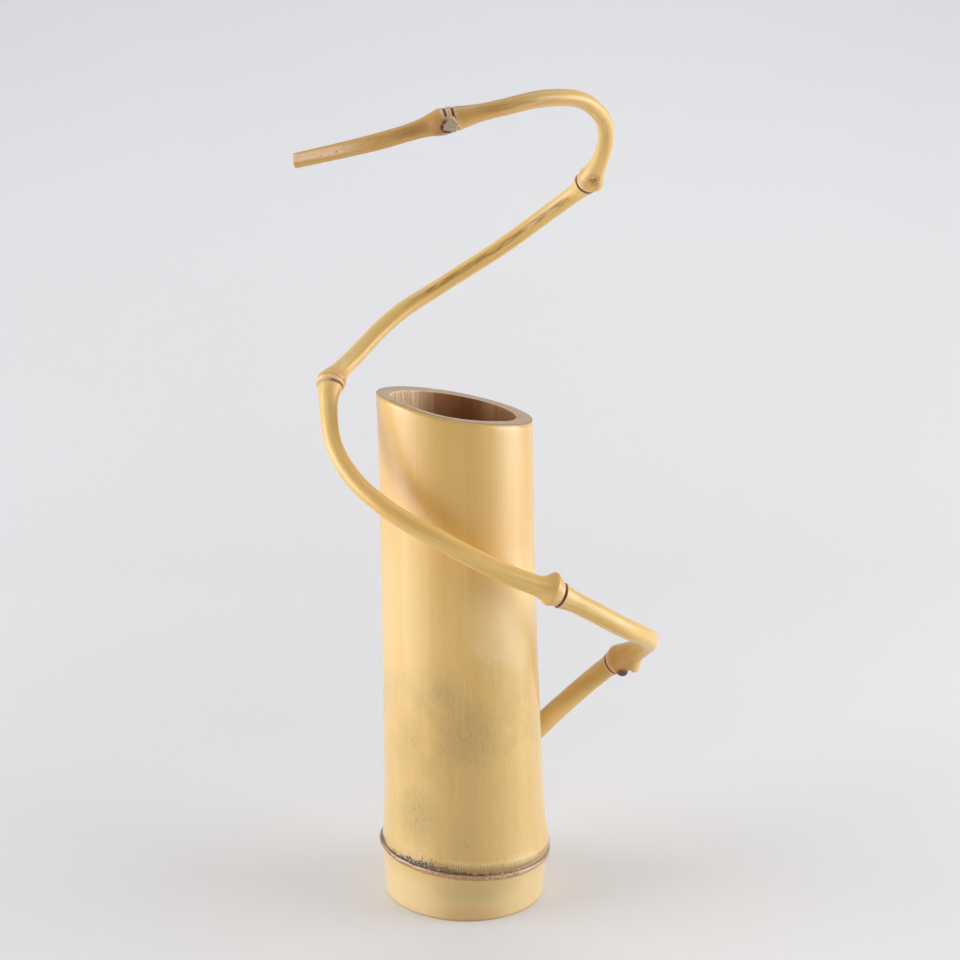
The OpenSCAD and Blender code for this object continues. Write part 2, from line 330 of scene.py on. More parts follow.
def mouth_and_chamber(rows):
    """Cut face of the mouth, the bore and the floor of the chamber."""
    rim = rows.points[-1]
    axis = culm_axis(rim[:, 2] - NODE_H) - TOP_SHIFT
    inner = np.stack([axis + CHAMBER_R * rows.c, CHAMBER_R * rows.s], -1)
    for share in (0.04, 0.12, 0.35, 0.65, 0.88, 0.94, 1.0):
        xy = rim[:, :2] * (1 - share) + inner * share
        grain = 0.03 * waves(xy[:, 0], xy[:, 1], 0, 21, 1.2)
        z = mouth_z(xy[:, 0], xy[:, 1]) + grain - 0.3 * step(share, 0.85, 1.0)
        rows.add(xy[:, 0], xy[:, 1], z, WALL_H, CUT, share)
    top = rows.points[-1][:, 2]
    floor_z = NODE_H + CHAMBER_FLOOR + CHAMBER_R * rows.c * math.sin(rad(LEAN))
    for share in (0.003, 0.03, 0.1, 0.25, 0.5, 0.75, 1.0):
        z = top + (floor_z - top) * share
        r = CHAMBER_R + 0.06 * waves(rows.c * 28, rows.s * 28, z * 0.2, 9, 0.5)
        axis = culm_axis(z - NODE_H) - TOP_SHIFT * step(z - NODE_H, 110, 205)
        rows.add(axis + r * rows.c, r * rows.s, z, WALL_H, INNER)
    for r in (20.0, 8.0, 0.4):
        z = NODE_H + CHAMBER_FLOOR + r * rows.c * math.sin(rad(LEAN))
        rows.add(r * rows.c, r * rows.s, z, WALL_H, PARTITION)


def under_foot(rows):
    """Flat sawn foot and the open hollow below the node."""
    foot = rows.points[0]
    for share in (0.08, 0.4, 0.8, 1.0):
        xy = foot[:, :2] * (1 - share) + np.stack([RECESS_R * rows.c, RECESS_R * rows.s], -1) * share
        rows.add(xy[:, 0], xy[:, 1], 0.0, -NODE_H, CUT)
    for z in (0.5, 5.0, 12.0, 15.5):
        rows.add(RECESS_R * rows.c, RECESS_R * rows.s, z, -NODE_H, INNER)
    for r, z in ((25.5, 16.6), (20.0, 17.2), (10.0, 17.6), (0.4, 17.8)):
        rows.add(r * rows.c, r * rows.s, z, -NODE_H, PARTITION)


def make_culm():
    """The whole culm as one mesh, with a material for each kind of surface."""
    rows = Rows(CULM_COLS)
    cols = rows.cols
    outer_wall(rows)
    mouth_and_chamber(rows)
    inside = len(rows.points)
    under_foot(rows)
    total = len(rows.points)
    faces = grid_faces(inside, cols) + grid_faces(total - inside, cols, inside * cols, flip=True)
    for k in range(cols):
        q = (k + 1) % cols
        faces.append((k, inside * cols + k, inside * cols + q, q))
    faces.append(tuple((inside - 1) * cols + k for k in range(cols)))
    faces.append(tuple((total - 1) * cols + k for k in range(cols - 1, -1, -1)))
    slots = [max(rows.kind[i // cols] for i in f) for f in faces]
    v = np.concatenate(rows.points)
    wood = np.stack([v[:, 0] - culm_axis(v[:, 2] - NODE_H), v[:, 1], v[:, 2]], -1)
    attrs = {"wood": wood, "ringq": np.concatenate(rows.q), "rim": np.concatenate(rows.rim)}
    obj = add_mesh("Culm", v * MM, faces, slots, attrs)
    for material in (skin_material, mouth_material, inner_material, partition_material):
        obj.data.materials.append(material())
    place(obj, "vase", "culm_bamboo", "culm")


# Branch


def branch_way():
    """Socket's gate and axis, the way's places and the branch's thickness at each."""
    rise, aim, turn = rad(SOCKET_RISE), rad(SOCKET_AIM), rad(SOCKET_TURN)
    axis = np.array([math.cos(rise) * math.cos(aim), math.cos(rise) * math.sin(aim), math.sin(rise)])
    wall = MOUTH_R + SWELL * (1 - SOCKET_H / WALL_H) ** 2 + FLARE * math.exp(-SOCKET_H / FLARE_FALL)
    gate = np.array([wall * math.cos(turn), wall * math.sin(turn), SOCKET_H])
    way = [gate + axis * 4]
    for a, off, z, _ in ROUTE:
        r = MOUTH_R + off
        way.append(np.array([r * math.cos(rad(a)), r * math.sin(rad(a)), z]))
    return axis, np.array(way), np.array([2 * TENON_FIT * TENON_R] + [p[3] for p in ROUTE])


class Branch:
    """Smooth centreline of the branch with its arc length, thickness and frames."""

    def __init__(self):
        self.aim, way, thick = branch_way()
        n = len(way)
        head = np.zeros_like(way)
        head[0] = self.aim
        head[-1] = (way[-1] - way[-2]) / np.linalg.norm(way[-1] - way[-2])
        for i in range(1, n - 1):
            a = np.linalg.norm(way[i] - way[i - 1])
            b = np.linalg.norm(way[i + 1] - way[i])
            head[i] = ((way[i] - way[i - 1]) * b / a + (way[i + 1] - way[i]) * a / b) / (a + b)
        # Straight end in the culm's wall, then one curve from place to place
        back = np.arange(-TENON_BACK, 0, 0.5)[:, None]
        pts, dirs = [way[0] + self.aim * back], [np.repeat(self.aim[None], len(back), 0)]
        th, idx = [np.full(len(back), thick[0])], [back[:, 0] / 100]
        for i in range(n - 1):
            run = np.linalg.norm(way[i + 1] - way[i])
            t = np.arange(0, 1, 0.01)[:, None]
            h00, h10 = 2 * t**3 - 3 * t**2 + 1, t**3 - 2 * t**2 + t
            h01, h11 = 3 * t**2 - 2 * t**3, t**3 - t**2
            pts.append(way[i] * h00 + head[i] * run * h10 + way[i + 1] * h01 + head[i + 1] * run * h11)
            d = way[i] * (6 * t**2 - 6 * t) + head[i] * run * (3 * t**2 - 4 * t + 1)
            dirs.append(d + way[i + 1] * (6 * t - 6 * t**2) + head[i + 1] * run * (3 * t**2 - 2 * t))
            th.append(thick[i] + (thick[i + 1] - thick[i]) * t[:, 0])
            idx.append(i + t[:, 0])
        self.p = np.concatenate(pts + [way[-1][None]])
        d = np.concatenate(dirs + [head[-1][None]])
        self.t = d / np.linalg.norm(d, axis=1)[:, None]
        idx = np.concatenate(idx + [np.array([n - 1.0])])
        s = np.concatenate([[0], np.cumsum(np.linalg.norm(np.diff(self.p, axis=0), axis=1))])
        self.s = s - s[np.argmin(np.abs(idx))]
        self.nodes = [float(self.s[np.argmin(np.abs(idx - k))]) for k in NODE_ROWS]
        self.length = float(self.s[-1])
        # Soft change of the thickness, so that no step shows between two places
        grid = np.arange(self.s[0], self.length, 1.0)
        t = np.interp(grid, self.s, np.concatenate(th + [thick[-1:]]))
        soft = np.hanning(15)[1:-1] / np.hanning(15).sum()
        self.th = np.interp(self.s, grid, np.convolve(np.pad(t, 6, mode="edge"), soft, "valid"))

    def at(self, s):
        """Place, direction, outward and cross direction, and thickness at arc lengths s."""
        p = np.stack([np.interp(s, self.s, self.p[:, k]) for k in range(3)], -1)
        t = np.stack([np.interp(s, self.s, self.t[:, k]) for k in range(3)], -1)
        t /= np.linalg.norm(t, axis=-1)[..., None]
        out = np.stack([p[..., 0], p[..., 1], 0 * p[..., 0]], -1)
        u = out - t * np.sum(out * t, -1)[..., None]
        u /= np.linalg.norm(u, axis=-1)[..., None]
        return p, t, u, np.cross(t, u), np.interp(s, self.s, self.th)


def branch_rows(branch):
    """Arc lengths of the rings: close together at the nodes."""
    s, out = -TENON_LEN, []
    while s < branch.length:
        out.append(s)
        near = min(abs(s - 3 - n) for n in branch.nodes)
        s += float(np.interp(near, [0, 8, 14, 30], [0.22, 0.3, 0.8, 1.3]))
    out.append(branch.length)
    return np.array(out)


def node_profile(d, f, form):
    """Extra radius at signed distance d past a node's scar, f degrees round the branch."""
    d = d - form["slant"] * cosd(f - form["to"])
    lop = 1 + form["lop"] * cosd(f - form["side"])
    start, peak = form["start"], form["peak"]
    rise = start + (1 - start) * step(d, 0, peak)
    fall = np.exp(-((np.maximum(d - peak, 0) / form["fall"]) ** 1.5))
    body = form["ridge"] * lop * rise * fall
    fore = form["flare"] * gauss(np.minimum(d, 0), form["reach"])
    mix = step(d, -0.2, 0.4)
    cut = -0.45 * gauss(d - 0.15, 0.36)
    lip = 0.2 * gauss(d + 0.75, 0.45) + 0.12 * gauss(d - 1.0, 0.4)
    return body * mix + fore * (1 - mix) + cut + lip, d


# Place of each scar past its node's place on the way, and the second scar of the last node
SCAR_SHIFT = (0, 0, 0, 0, -1.0)
SECOND_SCAR, SECOND_SLANT, SECOND_SIDE = 1.8, 0.6, 60

# Distance from a scar where there is none near
NO_SCAR = 99.0

# Sawn side shoot of the last node: distance past its place, side of the branch and how much
# longer it is along the branch than across
STUB_PAST, STUB_SIDE, STUB_OVAL = 2.2, 342, 1.12

# Narrow folds along the last internode: side, depth and half width
TIP_FOLDS = [(312, 0.35, 7), (20, 0.3, 6)]


def branch_form(branch, s, f):
    """Radius of the branch over arc length and side, and the masks that its material reads."""
    ss, ff = np.meshgrid(s, f, indexing="ij")
    r = np.repeat(np.interp(s, branch.s, branch.th)[:, None] / 2, len(f), 1)
    scar, groove, bud = np.full(ss.shape, NO_SCAR), np.zeros(ss.shape), np.zeros(ss.shape)
    edges = [-TENON_BACK] + branch.nodes + [branch.length]
    part = np.searchsorted(np.array(branch.nodes), s)
    for k, (low, high, deep, half) in enumerate(GROOVES):
        lo, hi = edges[k], edges[k + 1]
        side = low + (high - low) * np.clip((ss - lo) / (hi - lo), 0, 1)
        inside = step(ss, lo + 5, lo + 16) * (1 - step(ss, hi - 14, hi - 3) if k <= LAST else 1)
        g = gauss(turned(ff, side), half) * inside * (part[:, None] == k) * (deep > GROOVE_SEEN)
        groove = np.maximum(groove, g)
        r = r * (1 - deep * g)
    cf, sf = cos_sin(ff)
    for n, form, folds, shift in zip(branch.nodes, NODE_FORM, FOLDS, SCAR_SHIFT):
        extra, d = node_profile(ss - n - shift, ff, form)
        r = r + extra
        for at, high, half in folds:
            wave = 0.5 * waves(cf, sf, 0, int(at * 10) + 90, 1.2)
            r = r + high * gauss(d - at - wave, half)
        scar = np.where(np.abs(d) < np.abs(scar), d, scar)
    d = ss - branch.nodes[LAST] - SECOND_SCAR - SECOND_SLANT * cosd(ff - SECOND_SIDE)
    r = r - 0.4 * gauss(d, 0.36) + 0.15 * gauss(d + 0.8, 0.45)
    scar = np.where(np.abs(d) < np.abs(scar), d, scar)
    for node, past, side, high, half_s, half_w, flat in BULGES:
        across = turned(ff, side) * math.pi / 180 * BULGE_R
        away = np.sqrt(((ss - branch.nodes[node] - past) / half_s) ** 2 + (across / half_w) ** 2)
        shape = np.exp(-(away ** (flat + 0.6)) * 1.2)
        r = r + high * shape
        if flat > BUD_FLAT:
            bud = np.maximum(bud, 1 - step(away, 0.75, 1.1))
    last = step(ss, branch.nodes[LAST] + 12, branch.nodes[LAST] + 24)
    for side, deep, half in TIP_FOLDS:
        r = r - deep * gauss(turned(ff, side), half) * last
    r = r + 0.1 * waves(cf * 4, sf * 4, ss * 0.06, 31, 0.6) + 0.03 * waves(cf * 4, sf * 4, ss, 33, 1.4)
    return r, ss, cf, sf, dict(scar=scar, groove=groove, bud=bud)


def trim_to_chamber(ring, hidden, aim):
    """Slides the points of the tenon that stand in the chamber along its axis to the wall."""
    keep_out = CHAMBER_R - 0.05
    a = aim[0] ** 2 + aim[1] ** 2
    for i in np.where(hidden)[0]:
        for k in range(ring.shape[1]):
            x, y, _ = ring[i, k]
            if x * x + y * y < keep_out**2:
                b = x * aim[0] + y * aim[1]
                c = x * x + y * y - keep_out**2
                ring[i, k] += aim * ((-b + math.sqrt(b * b - a * c)) / a)


def side_shoot(branch):
    """Sawn stub on the last node: rings from inside the branch out to its cut face."""
    cols = STUB_COLS
    at = branch.nodes[LAST] + STUB_PAST
    p, t, u, v, _ = (x[0] for x in branch.at(np.array([at])))
    axis = u * math.cos(rad(STUB_SIDE)) + v * math.sin(rad(STUB_SIDE))
    e = np.cross(axis, t)
    w = np.arange(cols) * 2 * math.pi / cols
    rows, sizes = [], []
    form = [(4.0, 1.2), (4.6, 1.12), (5.1, 1.08), (5.6, 1.06), (STUB_LEN - 0.12, 1.05)]
    form += [(STUB_LEN, 1.0), (STUB_LEN + 0.02, 0.9), (STUB_LEN - 0.05, 0.6)]
    form += [(STUB_LEN - 0.08, 0.3), (STUB_LEN - 0.1, 0.03)]
    for k, (out, size) in enumerate(form):
        wob = 1 + 0.05 * np.sin(3 * w + 1) + 0.03 * np.sin(7 * w + k)
        r = STUB_R * size * wob
        along = t * (r * STUB_OVAL * np.cos(w))[:, None]
        rows.append(p + axis * out + along + e * (r * np.sin(w))[:, None])
        sizes.append(np.stack([np.full(cols, size), np.cos(w)], -1))
    faces = grid_faces(len(rows), cols, flip=True)
    faces.append(tuple((len(rows) - 1) * cols + k for k in range(cols - 1, -1, -1)))
    return np.concatenate(rows), faces, np.concatenate(sizes)


BARK, SAWN, STUB = range(3)

# Sawn tip: share of the branch's radius, and how far back the ring lies, down into the pith
TIP_RINGS = ((0.93, 0.0), (0.6, 0.15), (0.34, 0.5), (0.3, 3.0), (0.05, 3.2))


def make_branch():
    """The whole branch as one mesh, with its sawn tip and the sawn side shoot."""
    branch = Branch()
    s = branch_rows(branch)
    cols = BRANCH_COLS
    f = np.arange(cols) * 360.0 / cols
    r, ss, cf, sf, masks = branch_form(branch, s, f)
    p, t, u, v, _ = branch.at(s)
    hidden = s < 0
    r[hidden] = TENON_R
    ring = p[:, None, :] + u[:, None, :] * (r * cf)[..., None] + v[:, None, :] * (r * sf)[..., None]
    # The tip is sawn a little aslant, with a step at its lower edge
    ring[-1] -= t[-1] * (0.4 * sf[-1] + 0.25 * (sf[-1] < -0.3))[:, None]
    trim_to_chamber(ring, hidden, branch.aim)
    rows = len(s)
    verts = list(lean_out(ring).reshape(-1, 3))
    faces = grid_faces(rows, cols)
    slots = [BARK] * len(faces)
    # Ends: a fan in the culm's wall, and the sawn tip with its pith
    first = len(verts)
    verts.append(lean_out(ring[0].mean(0)))
    faces += [(first, (k + 1) % cols, k) for k in range(cols)]
    slots += [SAWN] * cols
    tip, centre, prev = ring[-1], ring[-1].mean(0), (rows - 1) * cols
    for share, back in TIP_RINGS:
        base = len(verts)
        verts += list(lean_out(centre + (tip - centre) * share - t[-1] * back))
        for k in range(cols):
            q = (k + 1) % cols
            faces.append((prev + k, prev + q, base + q, base + k))
        slots += [SAWN] * cols
        prev = base
    faces.append(tuple(prev + k for k in range(cols)))
    slots.append(SAWN)
    # Sawn side shoot
    base = len(verts)
    stub, stub_faces, sizes = side_shoot(branch)
    verts += list(lean_out(stub))
    faces += [tuple(base + k for k in face) for face in stub_faces]
    slots += [STUB] * len(stub_faces)
    extra = len(verts) - rows * cols
    wood = np.stack([cf * 4, sf * 4, ss], -1).reshape(-1, 3)
    pad = np.tile([0.0, 0.0, branch.length], (extra, 1))
    pad[-len(stub) :] = stub - stub.mean(0) + [0, 0, branch.nodes[LAST] + STUB_PAST]

    def padded(x, value=0.0):
        return np.concatenate([x.ravel(), np.full(extra, value)])

    attrs = {"wood": np.concatenate([wood, pad]), "scar": padded(masks["scar"], NO_SCAR)}
    # On the side shoot these two hold the ring's size and its side towards the tip
    for k, key in enumerate(("bud", "groove")):
        attrs[key] = padded(masks[key])
        attrs[key][-len(stub) :] = sizes[:, k]
    obj = add_mesh("Branch", np.array(verts), faces, slots, attrs)
    for material in (branch_material(branch), cut_material(), stub_material()):
        obj.data.materials.append(material)
    nodes = ("foot", "bend", "front", "back", "crook", "tip")
    place(obj, "vase", "branch_bamboo", *("branch_" + n for n in nodes))


# Node trees


class Tree:
    """Short calls for building a material's nodes."""

    def __init__(self, name):
        self.mat = bpy.data.materials.new(name)
        self.mat.use_nodes = True
        self.nt = self.mat.node_tree
        self.nt.nodes.clear()
        self.out = self.nt.nodes.new("ShaderNodeOutputMaterial")

    def add(self, kind, values=None, **props):
        n = self.nt.nodes.new("ShaderNode" + kind)
        for k, v in props.items():
            setattr(n, k, v)
        for k, v in (values or {}).items():
            self.put(n.inputs[k], v)
        return n

    def put(self, socket, v):
        """Links or sets a socket. A text is a colour as it looks, such as E3BE7C."""
        if isinstance(v, str):
            v = srgb(v)
        if isinstance(v, bpy.types.NodeSocket):
            self.nt.links.new(v, socket)
        elif hasattr(socket.default_value, "__len__") and isinstance(v, (tuple, list)):
            socket.default_value = tuple(v) + (1.0,) * (len(socket.default_value) - len(v))
        else:
            socket.default_value = v

    def vector(self, name):
        return self.add("Attribute", attribute_name=name).outputs["Vector"]

    def value(self, name):
        return self.add("Attribute", attribute_name=name).outputs["Fac"]

    def parts(self, vec):
        n = self.add("SeparateXYZ")
        self.put(n.inputs[0], vec)
        return n.outputs

    def math(self, op, a, b=0.0):
        n = self.add("Math", operation=op)
        for i, x in enumerate((a, b)):
            self.put(n.inputs[i], x)
        return n.outputs[0]

    def times(self, *factors):
        out = factors[0]
        for x in factors[1:]:
            out = self.math("MULTIPLY", out, x)
        return out

    def wobble(self, v, noise, amount):
        """v shifted by a noise about its middle."""
        return self.math("ADD", v, self.times(self.math("SUBTRACT", noise, 0.5), amount))

    def turn(self, vec, front=-90.0):
        """Angle round Z in degrees, 0 at the given side, -180 to 180."""
        x, y = self.parts(vec)[0], self.parts(vec)[1]
        c, s = math.cos(rad(front)), math.sin(rad(front))
        along = self.math("ADD", self.times(x, c), self.times(y, s))
        across = self.math("SUBTRACT", self.times(y, c), self.times(x, s))
        return self.times(self.math("ARCTAN2", across, along), 180.0 / math.pi)

    def noise(self, vec, scale, detail, rough):
        """Noise over a vector scaled by one factor, or by one for each axis."""
        n = self.add("TexNoise", {"Scale": 1.0, "Detail": detail, "Roughness": rough})
        fitted = self.add("VectorMath", operation="MULTIPLY")
        self.put(fitted.inputs[0], vec)
        fitted.inputs[1].default_value = scale if isinstance(scale, tuple) else (scale,) * 3
        self.put(n.inputs["Vector"], fitted.outputs[0])
        return n.outputs["Fac"]

    def dots(self, vec, scale):
        """Distance to the nearest of many scattered points."""
        n = self.add("TexVoronoi", {"Scale": scale}, feature="F1")
        self.put(n.inputs["Vector"], vec)
        return n.outputs["Distance"]

    def map(self, v, lo, hi, a=0.0, b=1.0):
        n = self.add("MapRange", interpolation_type="SMOOTHSTEP")
        for i, x in enumerate((v, lo, hi, a, b)):
            self.put(n.inputs[i], x)
        return n.outputs[0]

    def band(self, v, lo, hi, soft):
        """1 between lo and hi, with soft edges."""
        return self.times(self.map(v, lo - soft, lo + soft), self.map(v, hi - soft, hi + soft, 1.0, 0.0))

    def patch(self, a, b, at, half):
        """1 at a place (a, b), falling to 0 a little outside the half sizes round it."""
        x = self.times(self.math("SUBTRACT", a, at[0]), 1.0 / half[0])
        y = self.times(self.math("SUBTRACT", b, at[1]), 1.0 / half[1])
        d = self.math("SQRT", self.math("ADD", self.times(x, x), self.times(y, y)))
        return self.map(d, 0.15, 1.1, 1.0, 0.0)

    def mix(self, fac, a, b, blend="MIX"):
        n = self.add("Mix", data_type="RGBA", blend_type=blend)
        self.put(n.inputs[0], fac)
        self.put(n.inputs[6], a)
        self.put(n.inputs[7], b)
        return n.outputs[2]

    def bump(self, height, strength, distance):
        n = self.add("Bump", {"Strength": strength, "Distance": distance, "Height": height})
        return n.outputs["Normal"]

    def surface(self, color, rough, normal=None, glow=None, **fixed):
        n = self.add("BsdfPrincipled", {"Base Color": color, "Roughness": rough})
        if normal is not None:
            self.put(n.inputs["Normal"], normal)
        if glow is not None:
            self.put(n.inputs["Emission Color"], "FFFFFF")
            self.put(n.inputs["Emission Strength"], glow)
        for k, v in fixed.items():
            n.inputs[k.replace("_", " ")].default_value = v
        self.nt.links.new(n.outputs[0], self.out.inputs["Surface"])
        return self.mat


def srgb(text):
    """Linear colour of a colour written as it looks, such as E3BE7C."""
    out = []
    for i in (0, 2, 4):
        c = int(text[i : i + 2], 16) / 255
        out.append(c / 12.92 if c <= 0.04045 else ((c + 0.055) / 1.055) ** 2.4)
    return tuple(out) + (1.0,)


# Patches of painted light on the culm, which offset shade, and stains: angle from the front (right
# is positive), height above the table, half sizes, strength
PAINTED_LIGHT_PATCHES = [((42, 146), (40, 36), 0.75), ((-52, 136), (52, 56), 0.3)]
STAINS = [
    ((-36, 51), (22, 19), 0.85),
    ((6, 94), (26, 20), 0.8),
    ((-12, 112), (12, 9), 0.6),
    ((-42, 88), (16, 14), 0.5),
    ((30, 128), (22, 20), 0.3),
    ((-8, 40), (26, 18), 0.3),
]


def skin_material():
    """Skin of the culm: golden top darkened by painted shade, paler foot, painted light at the sides,
    stains, strokes and the node ring.
    """
    t = Tree("culm_skin")
    wood, q = t.vector("wood"), t.value("ringq")
    z, turn = t.parts(wood)[2], t.turn(wood)
    fibre = t.noise(wood, (1.7, 1.7, 0.025), 5, 0.6)
    broad = t.noise(wood, (0.14, 0.14, 0.005), 3, 0.5)
    cloud = t.noise(wood, (0.06, 0.06, 0.05), 4, 0.6)
    fine = t.noise(wood, (2.6, 2.6, 0.35), 5, 0.7)
    col = t.mix(t.map(broad, 0.35, 0.65), "E6B860", "ECC16B")
    col = t.mix(t.map(fibre, 0.3, 0.7, 0.0, 0.25), col, "D8A74F")
    # Lower part is paler and greener, in soft clouds
    low = t.wobble(z, cloud, 70.0)
    col = t.mix(t.map(low, 45.0, 125.0, 0.45, 0.0), col, "DEC07A")
    col = t.mix(t.map(z, 12.0, 26.0, 0.6, 0.0), col, "F1D7A2")
    # Pale patches at both sides of the middle are painted light that offsets shade, at the right the
    # branch's shadow; the darker top is painted shade, and the darker lower middle is partly stain,
    # partly painted shade
    # Painted light: pale patches that lift shaded parts of the sides
    for at, half, power in PAINTED_LIGHT_PATCHES:
        painted_light = t.patch(t.wobble(turn, cloud, 20.0), t.wobble(z, cloud, 50.0), at, half)
        col = t.mix(t.times(painted_light, power), col, "FFE0A0")
    # Painted shade: the top of the culm is darker
    col = t.mix(t.map(z, 175.0, 205.0, 0.0, 0.4), col, "DFB05E")
    # Partly stain, partly painted shade: the lower middle at the front is darker
    middle = t.times(t.band(t.wobble(turn, cloud, 30.0), -24.0, 22.0, 14.0), t.map(z, 135.0, 100.0))
    col = t.mix(t.times(middle, 0.45), col, "D2A355")
    # Grey-olive stains of fine upright strokes
    for at, half, power in STAINS:
        where = t.patch(t.wobble(turn, cloud, 14.0), t.wobble(z, fine, 16.0), at, half)
        col = t.mix(t.times(where, 0.42 * power), col, "B49A5A")
        col = t.mix(t.times(where, t.map(fine, 0.5, 0.62), 0.62 * power), col, "866F3C")
    # Olive and tan shades on the foot, and a thin olive veil with strokes above the ring
    foot = t.patch(t.wobble(turn, cloud, 16.0), z, (6, 15), (40, 9))
    col = t.mix(t.times(foot, 0.6), col, "C4AC6E")
    col = t.mix(t.times(t.patch(turn, z, (2, 2), (30, 8)), 0.45), col, "CB9F66")
    veil = t.times(t.map(cloud, 0.42, 0.62), t.band(z, 74.0, 118.0, 16.0), 0.32)
    col = t.mix(veil, col, "B8A562")
    strokes = t.times(t.map(fine, 0.56, 0.66), t.band(z, 30.0, 118.0, 18.0), t.map(cloud, 0.4, 0.55))
    col = t.mix(t.times(strokes, 0.35), col, "94804A")
    # Small dark specks and pale scratches
    specks = t.map(t.noise(wood, (1.5, 1.5, 0.9), 2, 0.5), 0.7, 0.76)
    col = t.mix(t.times(specks, t.map(z, 160.0, 60.0, 0.05, 0.5)), col, "7E6636")
    lines = t.map(t.noise(wood, (2.2, 2.2, 0.012), 2, 0.5), 0.64, 0.72)
    col = t.mix(t.times(lines, 0.3), col, "F4DCA4")
    col, dark, crumb = ring_colours(t, col, wood, q, turn)
    # Thin brown skin line at the mouth
    edge = t.map(q, WALL_H - 0.7, WALL_H - 0.1)
    col = t.mix(t.times(edge, 0.6), col, "93694A")
    rough = t.math("ADD", t.map(fibre, 0.3, 0.7, 0.32, 0.42), t.times(dark, 0.35))
    height = t.math("ADD", t.times(fibre, 0.2), t.times(crumb, t.band(q, -3.0, 3.4, 0.6)))
    gloss = dict(Coat_Weight=1.0, Coat_Roughness=0.35, Specular_IOR_Level=0.65)
    return t.surface(col, rough, t.bump(height, 0.4, 0.0005), **gloss)


def ring_colours(t, col, wood, q, turn):
    """Node ring: pinkish lip with brown edges, dark broken scar and a pale comb above it."""
    crumb = t.noise(wood, (1.1, 1.1, 1.5), 4, 0.7)
    grit = t.noise(wood, 1.5, 3, 0.7)
    grain = t.noise(wood, (0.8, 0.8, 1.0), 2, 0.6)
    shift = t.wobble(q, crumb, 1.8)
    # Lip with darker grains, its rusty band at the left and its lower outline
    lip = t.band(shift, -2.8, -0.3, 0.25)
    lip_col = t.mix(t.map(grit, 0.42, 0.64), "A26C42", "E2B589")
    lip_col = t.mix(t.map(grain, 0.56, 0.66), lip_col, "7E4C2C")
    col = t.mix(t.times(lip, 0.9), col, lip_col)
    worn = t.map(grain, 0.32, 0.44)
    rust = t.times(t.band(shift, -2.5, -1.1, 0.25), t.band(turn, -82.0, -38.0, 6.0), worn)
    col = t.mix(t.times(rust, 0.85), col, "8E5230")
    rim = t.times(t.band(shift, -3.2, -2.65, 0.18), t.map(grain, 0.3, 0.5, 0.35, 1.0))
    col = t.mix(t.times(rim, 0.85), col, "7F4A2C")
    # Thin dark line on the lip, all round
    line = t.times(t.band(shift, -0.55, 0.25, 0.15), t.map(crumb, 0.62, 0.5))
    col = t.mix(t.times(line, 0.85), col, "3B2417")
    # Broken black scar over the lip, thickest at the front left, with a toothed upper edge
    away = t.math("ABSOLUTE", t.math("ADD", turn, 23.0))
    thick = t.map(away, 2.0, 34.0, 2.9, 0.3)
    teeth = t.noise(wood, (0.95, 0.95, 0.22), 3, 0.7)
    blob = t.noise(wood, (0.42, 0.42, 0.3), 1, 0.5)
    upper = t.wobble(t.wobble(thick, blob, 5.0), teeth, t.map(away, 4.0, 36.0, 7.0, 1.8))
    dark = t.times(t.map(shift, -0.6, -0.2), t.math("LESS_THAN", q, upper))
    dark = t.times(dark, t.map(turn, 12.0, 26.0, 1.0, 0.0), t.map(turn, -66.0, -52.0))
    col = t.mix(dark, col, t.mix(t.map(grit, 0.42, 0.6), "1D130D", "4F3928"))
    pale = t.times(t.map(grain, 0.53, 0.58), t.band(turn, -48.0, -2.0, 4.0), t.band(q, 0.0, 4.2, 0.4))
    col = t.mix(t.times(pale, t.map(grit, 0.35, 0.5), 0.85), col, "DCD0AC")
    hair = t.map(t.noise(wood, (1.6, 1.6, 0.16), 2, 0.6), 0.55, 0.62)
    hair = t.times(hair, t.band(turn, -44.0, -2.0, 5.0))
    col = t.mix(t.times(hair, t.band(q, 0.8, 5.4, 1.2), 0.6), col, "5E4A2C")
    # Dark end at the left, fading out towards the back
    left = t.times(t.map(turn, -70.0, -80.0), t.band(shift, -1.3, 1.5, 0.4), t.map(turn, -176.0, -120.0))
    col = t.mix(t.times(left, 0.9), col, t.mix(t.map(grit, 0.4, 0.6), "33211A", "6B4C36"))
    # Comb of pale ticks over a golden shade
    ragged = t.wobble(q, teeth, 2.4)
    shade = t.times(t.band(ragged, 0.3, 4.2, 0.9), t.map(turn, -40.0, -6.0, 0.2, 1.0), 0.75)
    shade = t.times(shade, t.map(turn, 176.0, 100.0))
    col = t.mix(shade, col, "9C7434")
    tick = t.map(t.math("SINE", t.times(t.wobble(turn, grain, 1.2), 3.98)), 0.0, 0.8)
    side = t.times(t.band(turn, -13.0, 58.0, 7.0), t.map(crumb, 0.35, 0.5))
    col = t.mix(t.times(tick, t.band(ragged, 2.8, 6.2, 0.6), side, 0.6), col, "F6DFA2")
    return col, dark, crumb


def mouth_material():
    """Slanted cut: thin dark skin line outside, pale edge at the chamber."""
    t = Tree("mouth_cut")
    wood, rim = t.vector("wood"), t.value("rim")
    grain = t.noise(wood, 2.2, 3, 0.6)
    soft = t.noise(wood, 0.16, 3, 0.5)
    col = t.mix(t.map(grain, 0.35, 0.65), "C6AE94", "D4BDA3")
    col = t.mix(t.map(soft, 0.4, 0.7, 0.0, 0.5), col, "C2A88F")
    col = t.mix(t.map(t.dots(wood, 1.1), 0.1, 0.3, 0.3, 0.0), col, "8F7258")
    col = t.mix(t.map(rim, 0.9, 0.95, 0.0, 0.9), col, "F2D3B6")
    col = t.mix(t.map(rim, 0.07, 0.02, 0.0, 0.75), col, "7D6350")
    return t.surface(col, 0.7, t.bump(grain, 0.3, 0.0003))


